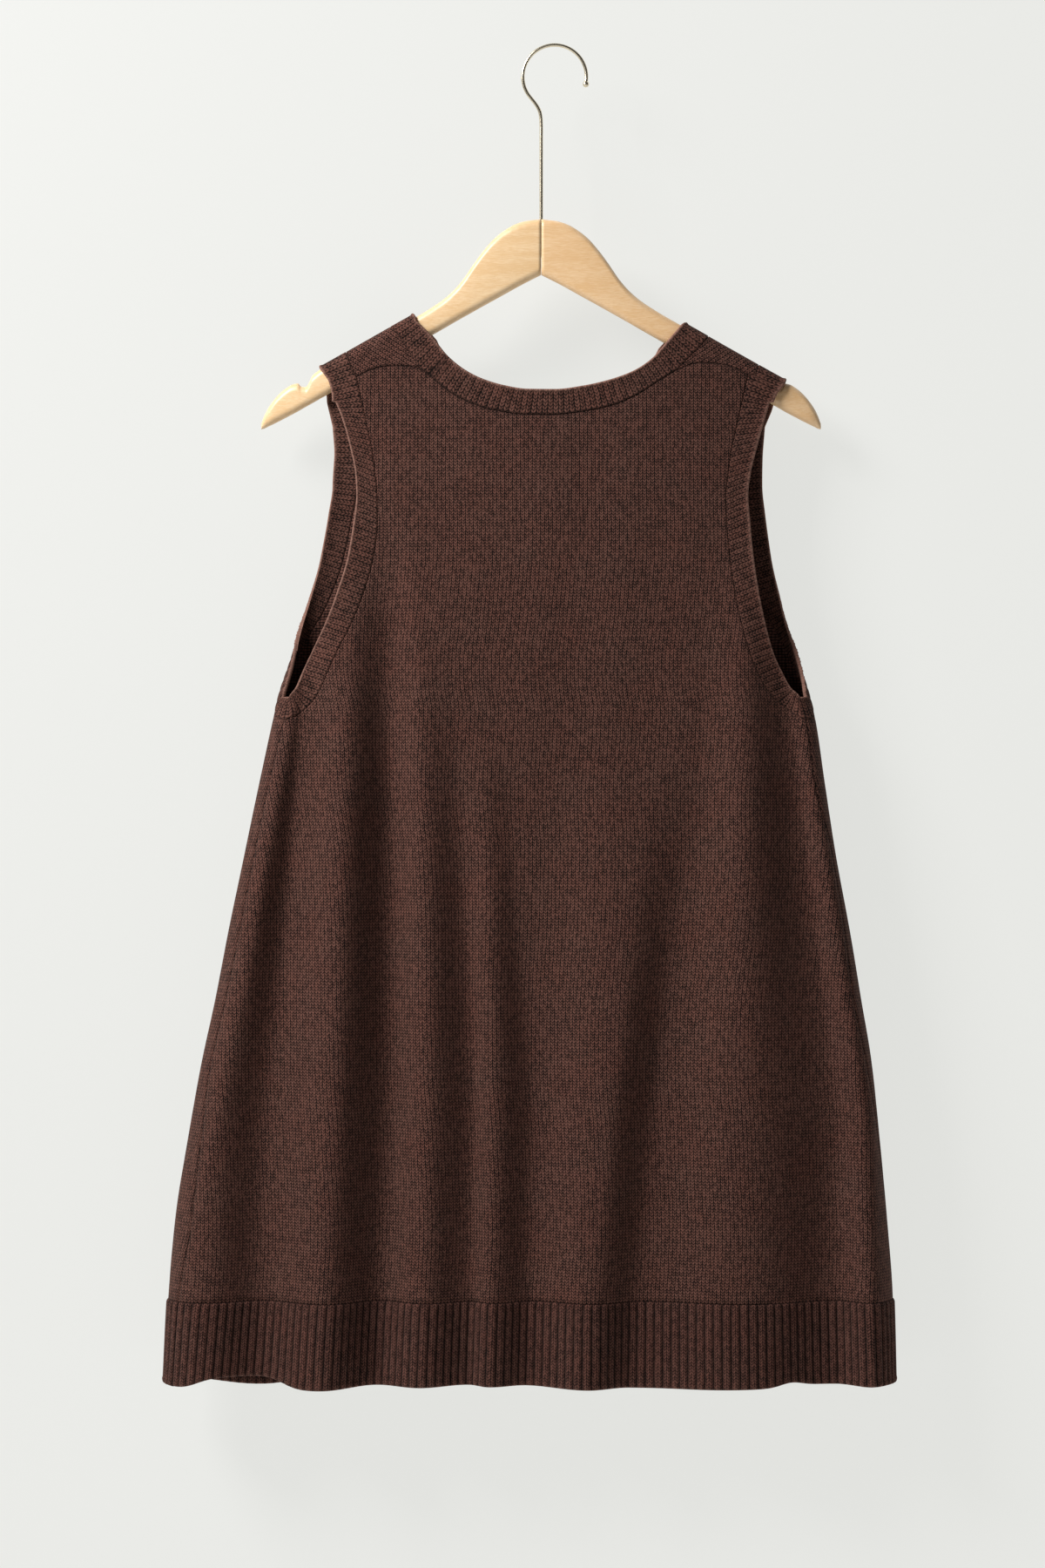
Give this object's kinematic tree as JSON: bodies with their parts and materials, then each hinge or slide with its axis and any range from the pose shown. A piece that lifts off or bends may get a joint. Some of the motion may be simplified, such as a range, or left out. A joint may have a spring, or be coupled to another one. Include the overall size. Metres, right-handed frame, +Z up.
{
  "type": "knitted sweater vest on a hanger",
  "caption": "Long sleeveless A-line knitted vest with ribbed neck, armholes and hem, hung by its shoulders on a flat wooden hanger with a wire hook.",
  "frame": {"origin": "where a rail touches the inside of the hanger's hook, at the top of its bend", "axes": "+Z up; +X across the shoulders, to the right as the garment's back is seen; the garment's back faces -Y and its front +Y"},
  "size_m": [0.5767, 0.0806, 1.0558],
  "materials": {
    "knit_plain": "dark brown plain-knit wool",
    "knit_rib": "dark brown ribbed wool",
    "hanger_wood": "pale satin-varnished maple",
    "hook_metal": "warm nickel-plated wire"
  },
  "bodies": {
    "root": {"back_panel": "knit_plain", "front_panel": "knit_plain", "back_hem_rib": "knit_rib", "front_hem_rib": "knit_rib", "neck_band": "knit_rib", "armhole_band_left": "knit_rib", "armhole_band_right": "knit_rib", "hanger_arm_left": "hanger_wood", "hanger_arm_right": "hanger_wood", "hanger_hook": "hook_metal"}
  },
  "joints": []
}
